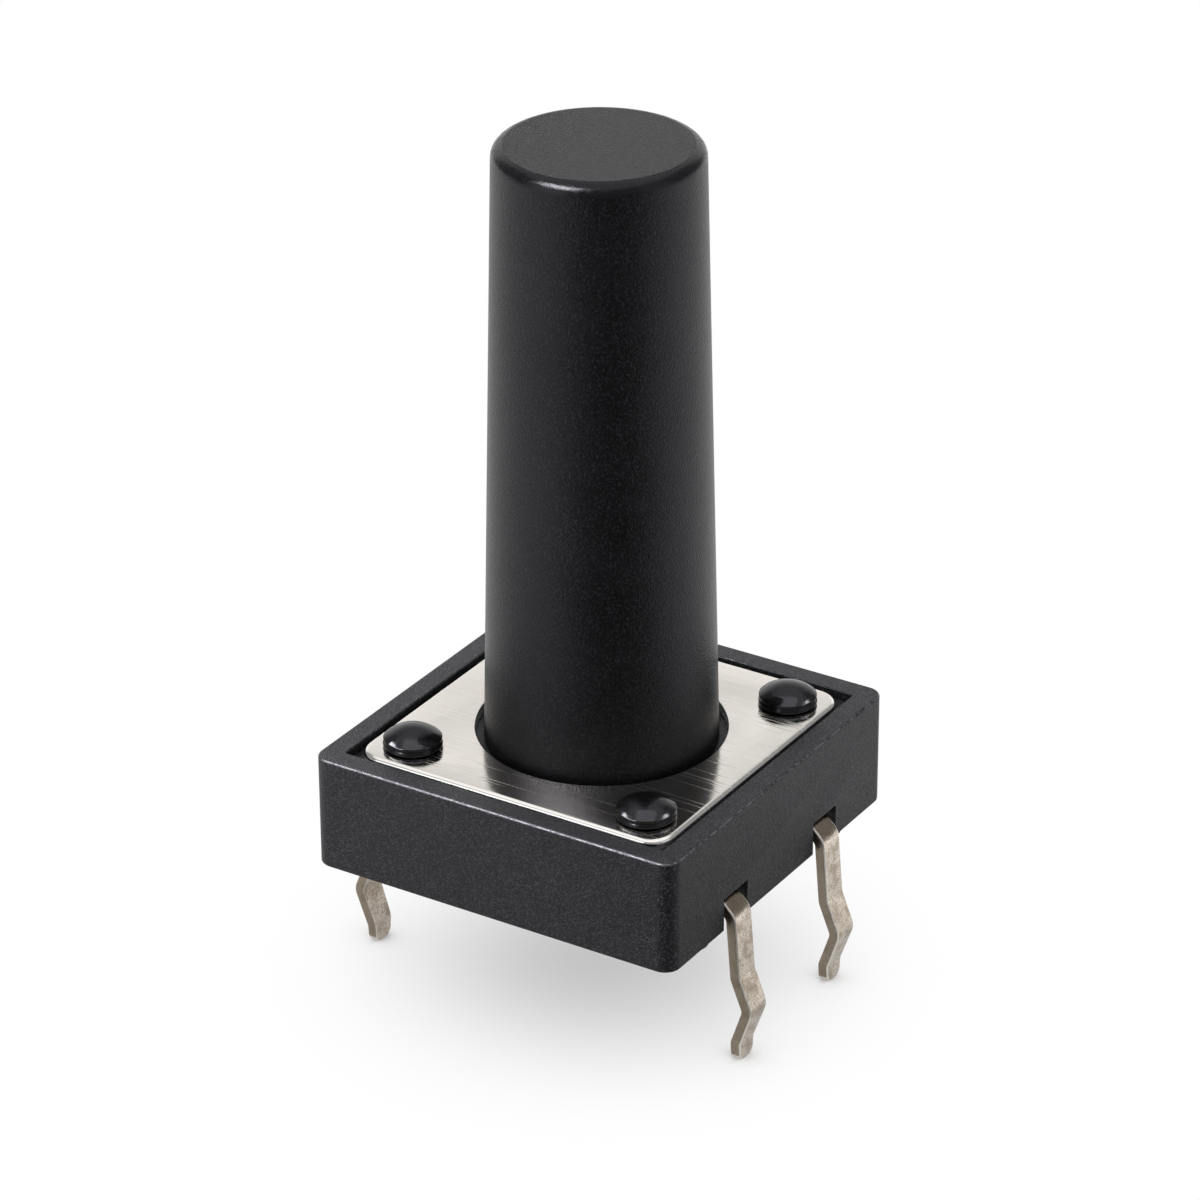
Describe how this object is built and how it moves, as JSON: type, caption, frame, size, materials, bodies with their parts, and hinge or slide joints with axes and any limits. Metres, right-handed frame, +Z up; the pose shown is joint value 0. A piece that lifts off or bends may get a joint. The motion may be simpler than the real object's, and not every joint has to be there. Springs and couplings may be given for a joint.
{
  "type": "tactile push button switch",
  "caption": "Square through-hole tactile switch with a tall round tapered push button, steel cover plate with staked posts, and kinked solder pins.",
  "frame": {"origin": "middle of the four pins, on the top face of the circuit board that the feet stand on", "axes": "+Z up out of the board along the stem; +X towards one row of two pins, +Y along that row"},
  "size_m": [0.0136, 0.012, 0.0257],
  "materials": {
    "housing_plastic": "fine matte grain from a spark-eroded mould",
    "button_plastic": "fine matte grain, a little rubbed along the top edge",
    "plated_steel": "bright nickel with fine rolling scratches",
    "dome_steel": "satin spring steel",
    "plated_brass": "dull tin plate over brass, lightly stained"
  },
  "bodies": {
    "housing": {"base": "housing_plastic", "cover_plate": "plated_steel", "contact_dome": "dome_steel", "outer_terminal": "plated_brass", "centre_terminal": "plated_brass"},
    "button": {"plunger": "button_plastic"}
  },
  "joints": [
    {"name": "press", "type": "slide", "parent": "housing", "child": "button", "axis": [0, 0, -1], "range_m": [0, 0.0003], "stiffness_N_per_m": 6500, "deforming": ["contact_dome"]}
  ]
}
